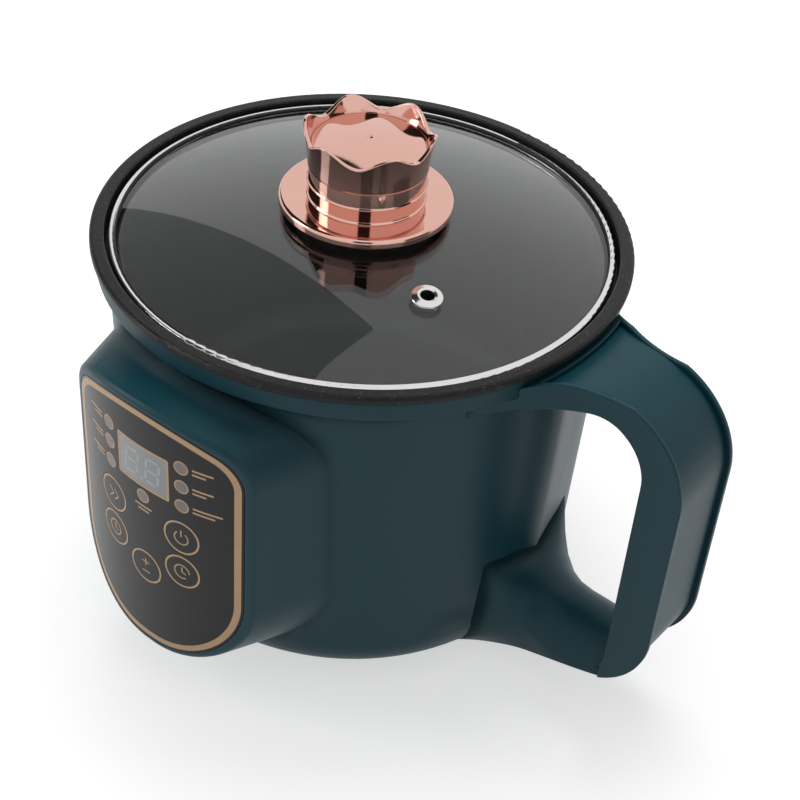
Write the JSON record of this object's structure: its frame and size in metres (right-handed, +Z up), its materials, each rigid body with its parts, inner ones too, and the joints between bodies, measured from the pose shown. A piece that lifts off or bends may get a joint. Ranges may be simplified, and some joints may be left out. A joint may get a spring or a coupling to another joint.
{
  "type": "electric hot pot",
  "caption": "Table-top electric cooking pot with a lift-off glass lid, crown-shaped knob, control panel pod and a loop handle.",
  "frame": {"origin": "on the pot's upright axis, in the plane that its feet stand on", "axes": "+Z up along the pot's axis, -Y out of the control panel, +X along the handle"},
  "size_m": [0.2543, 0.2144, 0.1938],
  "materials": {
    "teal_plastic": "satin dark teal",
    "black_plastic": "fine matt",
    "grey_plastic": "matt",
    "white_plastic": "matt",
    "black_rubber": "matt",
    "clear_silicone": "matt",
    "nonstick": "speckled non-stick coating",
    "panel_gloss": "gloss film",
    "smoked_window": "gloss",
    "lamp_lens": "gloss",
    "board_green": "solder mask",
    "cast_aluminium": "as cast",
    "element_steel": "heat tinted",
    "sheet_steel": "rolled",
    "screw_steel": "zinc plated",
    "polished_steel": "polished",
    "rose_plating": "rose gold plating",
    "relay_blue": "matt",
    "transformer_yellow": "tape",
    "brass": "bright",
    "clear_glass": "tempered clear"
  },
  "bodies": {
    "base": {"base_cover": "black_plastic", "base_screws": "screw_steel", "board_screws": "screw_steel", "capacitors": "black_plastic", "control_board": "board_green", "display_module": "grey_plastic", "display_window": "smoked_window", "fuse_clip": "sheet_steel", "handle_core": "teal_plastic", "handle_cover": "teal_plastic", "heat_shield": "sheet_steel", "heater_studs": "screw_steel", "heating_element": "element_steel", "heating_plate": "cast_aluminium", "housing": "teal_plastic", "indicator_lamps": "lamp_lens", "inlet_pins": "brass", "inlet_screws": "screw_steel", "inner_pot": "nonstick", "key_switches": "black_plastic", "lamp_lenses": "lamp_lens", "panel_film": "panel_gloss", "pot_gasket": "black_rubber", "power_board": "board_green", "power_board_screws": "screw_steel", "power_inlet": "black_plastic", "relay": "relay_blue", "rubber_feet": "black_rubber", "sensor_cap": "cast_aluminium", "sensor_holder": "white_plastic", "shield_screws": "screw_steel", "stud_nuts": "screw_steel", "stud_spacers": "screw_steel", "terminal_block": "white_plastic", "thermal_fuse": "white_plastic", "transformer": "transformer_yellow"},
    "lid": {"lid_glass": "clear_glass", "lid_gasket": "black_rubber", "lid_band": "polished_steel", "steam_eyelet": "polished_steel", "knob_plate": "rose_plating", "knob_crown": "rose_plating", "knob_cap": "rose_plating", "knob_seal": "clear_silicone", "knob_screw": "polished_steel", "screw_washer": "polished_steel", "screw_seal": "clear_silicone"},
    "key_1": {"key_1": "panel_gloss"},
    "key_2": {"key_2": "panel_gloss"},
    "key_3": {"key_3": "panel_gloss"},
    "key_4": {"key_4": "panel_gloss"},
    "key_5": {"key_5": "panel_gloss"}
  },
  "joints": [
    {"name": "lid_lift", "type": "slide", "parent": "base", "child": "lid", "axis": [0, 0, 1], "range_m": [0, 0.12]},
    {"name": "key_1_press", "type": "slide", "parent": "base", "child": "key_1", "axis": [0.1859, 0.9826, 0], "range_m": [0, 0.0005], "stiffness_N_per_m": 600, "springref_m": -0.0005},
    {"name": "key_2_press", "type": "slide", "parent": "base", "child": "key_2", "axis": [0.1859, 0.9826, 0], "range_m": [0, 0.0005], "stiffness_N_per_m": 600, "springref_m": -0.0005},
    {"name": "key_3_press", "type": "slide", "parent": "base", "child": "key_3", "axis": [-0.1859, 0.9826, 0], "range_m": [0, 0.0005], "stiffness_N_per_m": 600, "springref_m": -0.0005},
    {"name": "key_4_press", "type": "slide", "parent": "base", "child": "key_4", "axis": [-0.1859, 0.9826, 0], "range_m": [0, 0.0005], "stiffness_N_per_m": 600, "springref_m": -0.0005},
    {"name": "key_5_press", "type": "slide", "parent": "base", "child": "key_5", "axis": [0, 1, 0], "range_m": [0, 0.0005], "stiffness_N_per_m": 600, "springref_m": -0.0005}
  ]
}
